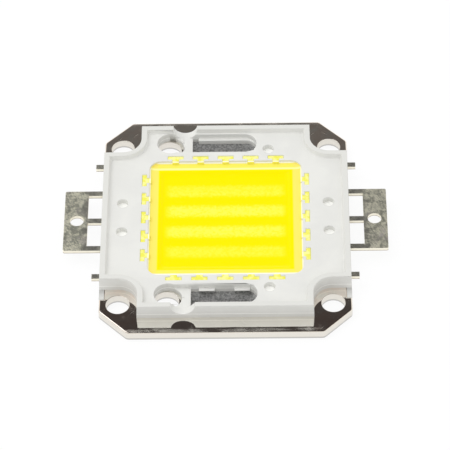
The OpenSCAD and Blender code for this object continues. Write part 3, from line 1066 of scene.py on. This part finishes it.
@dataclass
class Dies:
    """Four rows of sapphire dies, each with a mesa and two bond pads."""

    columns: int = 10
    mesa: float = 0.94
    mesa_t: float = 0.004 * MM
    pad_d: float = 0.16 * MM
    pad_x: float = 0.35 * MM
    pad_t: float = 0.002 * MM

    def build(self) -> bpy.types.Object:
        """Build and dress the dies of all rows."""
        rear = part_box("die_row_1")
        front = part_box(f"die_row_{DIE_ROWS}")
        size = rear[1].y - rear[0].y
        last = rear[1].x - size / 2
        tree = GeometryTree("die_grid", {
            "Columns": self.columns, "Rows": DIE_ROWS, "Width": 2 * last, "Length": rear[0].y - front[0].y,
            "Size": size, "Thickness": rear[1].z - rear[0].z - self.mesa_t - self.pad_t,
            "Base": rear[0].z, "Mesa": self.mesa, "Mesa thickness": self.mesa_t,
            "Pad diameter": self.pad_d, "Pad place": self.pad_x, "Pad thickness": self.pad_t,
            "Finish": SapphireDie(Slot.DIE).material(), "Pad finish": GoldWire(Slot.WIRE).material(),
        })
        wiring, given = tree.wiring, tree.given
        top = wiring.plus(given["Base"], given["Thickness"])
        mesa_top = wiring.plus(top, given["Mesa thickness"])
        body = self.slab(tree, given["Size"], given["Thickness"], given["Base"])
        mesa_side = wiring.times(given["Size"], given["Mesa"])
        mesa = self.slab(tree, mesa_side, given["Mesa thickness"], top)
        die = self.joined(wiring, [body, mesa])
        chip = tree.painted(die, given["Finish"])
        pads = []
        for sign in (-1.0, 1.0):
            disc = wiring.node("GeometryNodeMeshCylinder", {
                "Vertices": 12, "Radius": wiring.times(given["Pad diameter"], 0.5),
                "Depth": given["Pad thickness"]})
            lift = wiring.plus(mesa_top, wiring.times(given["Pad thickness"], 0.5))
            place = wiring.vector(x=wiring.times(given["Pad place"], sign), z=lift)
            pads.append(tree.moved(disc.outputs[0], place))
        gilt = tree.painted(self.joined(wiring, pads), given["Pad finish"])
        grid = wiring.node("GeometryNodeMeshGrid", {
            "Size X": given["Width"], "Size Y": given["Length"],
            "Vertices X": given["Columns"], "Vertices Y": given["Rows"]})
        all_dies = tree.placed(grid.outputs[0], self.joined(wiring, [chip, gilt]))
        tree.finish(tree.plain(all_dies))
        piece = tree.bake("die_array")
        mount(piece, Slot.DIE, *[f"die_row_{row}" for row in range(1, DIE_ROWS + 1)])
        return piece

    def slab(self, tree: GeometryTree, side: Socket, thick: Socket, low: Socket) -> Socket:
        """Square slab of a given side and thickness that stands on the height low."""
        return tree.block((side, side, thick), tree.wiring.plus(low, tree.wiring.times(thick, 0.5)))

    def joined(self, wiring: Wiring, parts: Sequence[Socket]) -> Socket:
        """The given geometry in one."""
        join = wiring.node("GeometryNodeJoinGeometry")
        for part in parts:
            wiring.tree.links.new(part, join.inputs[0])
        return join.outputs[0]


def dress_nodes(prefix: str, finish: bpy.types.Material) -> None:
    """Give each row of a CAD node family its finish.

    Args:
        prefix: what the nodes' names start with.
        finish: their material.
    """
    for row in range(1, DIE_ROWS + 1):
        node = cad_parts[f"{prefix}_{row}"]
        dress(node, finish)
        log.info("%s: dressed in %s", node.name, finish.name)


# ---------------------------------------------------------------- studio


@dataclass
class Studio:
    """Pale floor, even light and one large soft lamp to the left."""

    floor_half: float = 3.0
    floor_drop: float = 0.01 * MM
    floor_colour: Colour = (0.86, 0.86, 0.86, 1.0)
    floor_glow: float = 0.88
    ambient: float = 0.91
    sky: tuple = ((0.0, 1.0, 0.06), (0.45, 0.85, 0.06), (0.6, 0.34, 0.06), (0.70, 0.14, 0.06),
                  (0.73, 0.085, 0.08), (0.765, 0.032, 0.28), (1.0, 0.028, 0.28))
    lamp_place: tuple = (-0.34, 0.12, 0.62)
    lamp_size: float = 0.5
    lamp_power: float = 1.25
    haze: float = 0.94
    white_glow: float = 1.02

    def build(self) -> None:
        """Build the floor, the world and the lamp."""
        self.floor()
        self.world()
        self.lamp()

    def floor(self) -> None:
        """White floor that shows a faint shadow."""
        form = bmesh.new()
        bmesh.ops.create_grid(form, x_segments=1, y_segments=1, size=self.floor_half)
        mesh = mesh_from(form, "studio_floor")
        mesh.transform(Matrix.Translation((0.0, 0.0, -self.floor_drop)))
        piece = new_piece("studio_floor", mesh)
        made = bpy.data.materials.new("studio_floor")
        wiring = fresh_tree(made)
        path = wiring.node("ShaderNodeLightPath").outputs
        seen = wiring.math("MAXIMUM", path["Is Camera Ray"],
                           wiring.math("MAXIMUM", path["Is Glossy Ray"], path["Is Transmission Ray"]))
        matt = wiring.node("ShaderNodeBsdfDiffuse", {"Color": self.floor_colour})
        glow = wiring.node("ShaderNodeEmission", {"Color": WHITE, "Strength": self.white_glow})
        share = wiring.times(seen, self.floor_glow)
        both = wiring.node("ShaderNodeMixShader", {0: share, 1: matt.outputs[0], 2: glow.outputs[0]})
        wiring.node("ShaderNodeOutputMaterial", {"Surface": both.outputs[0]})
        mesh.materials.append(made)

    def world(self) -> None:
        """Even light; in reflections, a white horizon under a dark ceiling."""
        world = bpy.data.worlds.new("studio")
        bpy.context.scene.world = world
        wiring = fresh_tree(world)
        direction = wiring.node("ShaderNodeTexCoord").outputs["Generated"]
        up = wiring.parts(direction)[2]
        ramp = wiring.node("ShaderNodeValToRGB", {0: up})
        stops = ramp.color_ramp.elements
        while len(stops) < len(self.sky):
            stops.new(1.0)
        for stop, (height, tone, warmth) in zip(stops, self.sky):
            stop.position = height
            stop.color = (tone * (1 + warmth), tone, tone * self.haze, 1.0)
        reflected = ramp.outputs[0]
        path = wiring.node("ShaderNodeLightPath").outputs
        even = wiring.node("ShaderNodeBackground", {"Color": WHITE, "Strength": self.ambient})
        mirrored = wiring.node("ShaderNodeBackground", {"Color": reflected, "Strength": 1.0})
        white = wiring.node("ShaderNodeBackground", {"Color": WHITE, "Strength": 1.0})
        glossy = wiring.node("ShaderNodeMixShader", {
            0: path["Is Glossy Ray"], 1: even.outputs[0], 2: mirrored.outputs[0]})
        seen = wiring.math("MAXIMUM", path["Is Camera Ray"], path["Is Transmission Ray"])
        both = wiring.node("ShaderNodeMixShader", {0: seen, 1: glossy.outputs[0], 2: white.outputs[0]})
        wiring.node("ShaderNodeOutputWorld", {"Surface": both.outputs[0]})

    def lamp(self) -> None:
        """One large soft lamp, aimed at the module."""
        data = bpy.data.lights.new("soft_lamp", "AREA")
        data.shape = "SQUARE"
        data.size = self.lamp_size
        data.energy = self.lamp_power
        lamp = bpy.data.objects.new("soft_lamp", data)
        lamp.location = self.lamp_place
        lamp.rotation_euler = (-Vector(self.lamp_place)).to_track_quat("-Z", "Y").to_euler()
        bpy.context.scene.collection.objects.link(lamp)


@dataclass
class StudioCamera:
    """Long lens that looks down on the module from in front."""

    elevation: float = math.radians(47.37)
    azimuth: float = math.radians(1.114)
    distance: float = 0.4624
    roll: float = math.radians(-1.36)
    lens: float = 229.05
    shift: tuple = (-0.00147, -0.00255)
    sensor: float = 36.0
    clip: float = 0.01

    def build(self) -> None:
        """Build the camera and make it the scene's."""
        data = bpy.data.cameras.new("camera")
        data.lens = self.lens
        data.sensor_width = self.sensor
        data.shift_x, data.shift_y = self.shift
        data.clip_start = self.clip
        camera = bpy.data.objects.new("camera", data)
        target = Vector((0.0, 0.0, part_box("base_plate")[1].z))
        look = Vector((-math.sin(self.azimuth) * math.cos(self.elevation),
                       math.cos(self.azimuth) * math.cos(self.elevation), -math.sin(self.elevation)))
        camera.location = target - self.distance * look
        aim = look.to_track_quat("-Z", "Y").to_matrix().to_4x4()
        camera.rotation_euler = (aim @ Matrix.Rotation(self.roll, 4, "Z")).to_euler()
        bpy.context.scene.collection.objects.link(camera)
        bpy.context.scene.camera = camera


def main() -> None:
    """Build the module, dress it and set it in the studio."""
    logging.basicConfig(level=logging.INFO, format="%(name)s: %(message)s")
    StudioCamera().build()
    Studio().build()
    BasePlate().build()
    Housing().build()
    strip = TinnedStrip(Slot.STRIP, LEG_END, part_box("right_leadframe")[0].z).material()
    for side in Side:
        Terminal(side).build(strip)
    LightField().build()
    Dies().build()
    dress_nodes("die_attach_row", DieAdhesive(Slot.ADHESIVE).material())
    dress_nodes("bond_wires_row", GoldWire(Slot.WIRE).material())
    bpy.context.scene.view_settings.view_transform = "Standard"


if __name__ == "__main__":
    main()
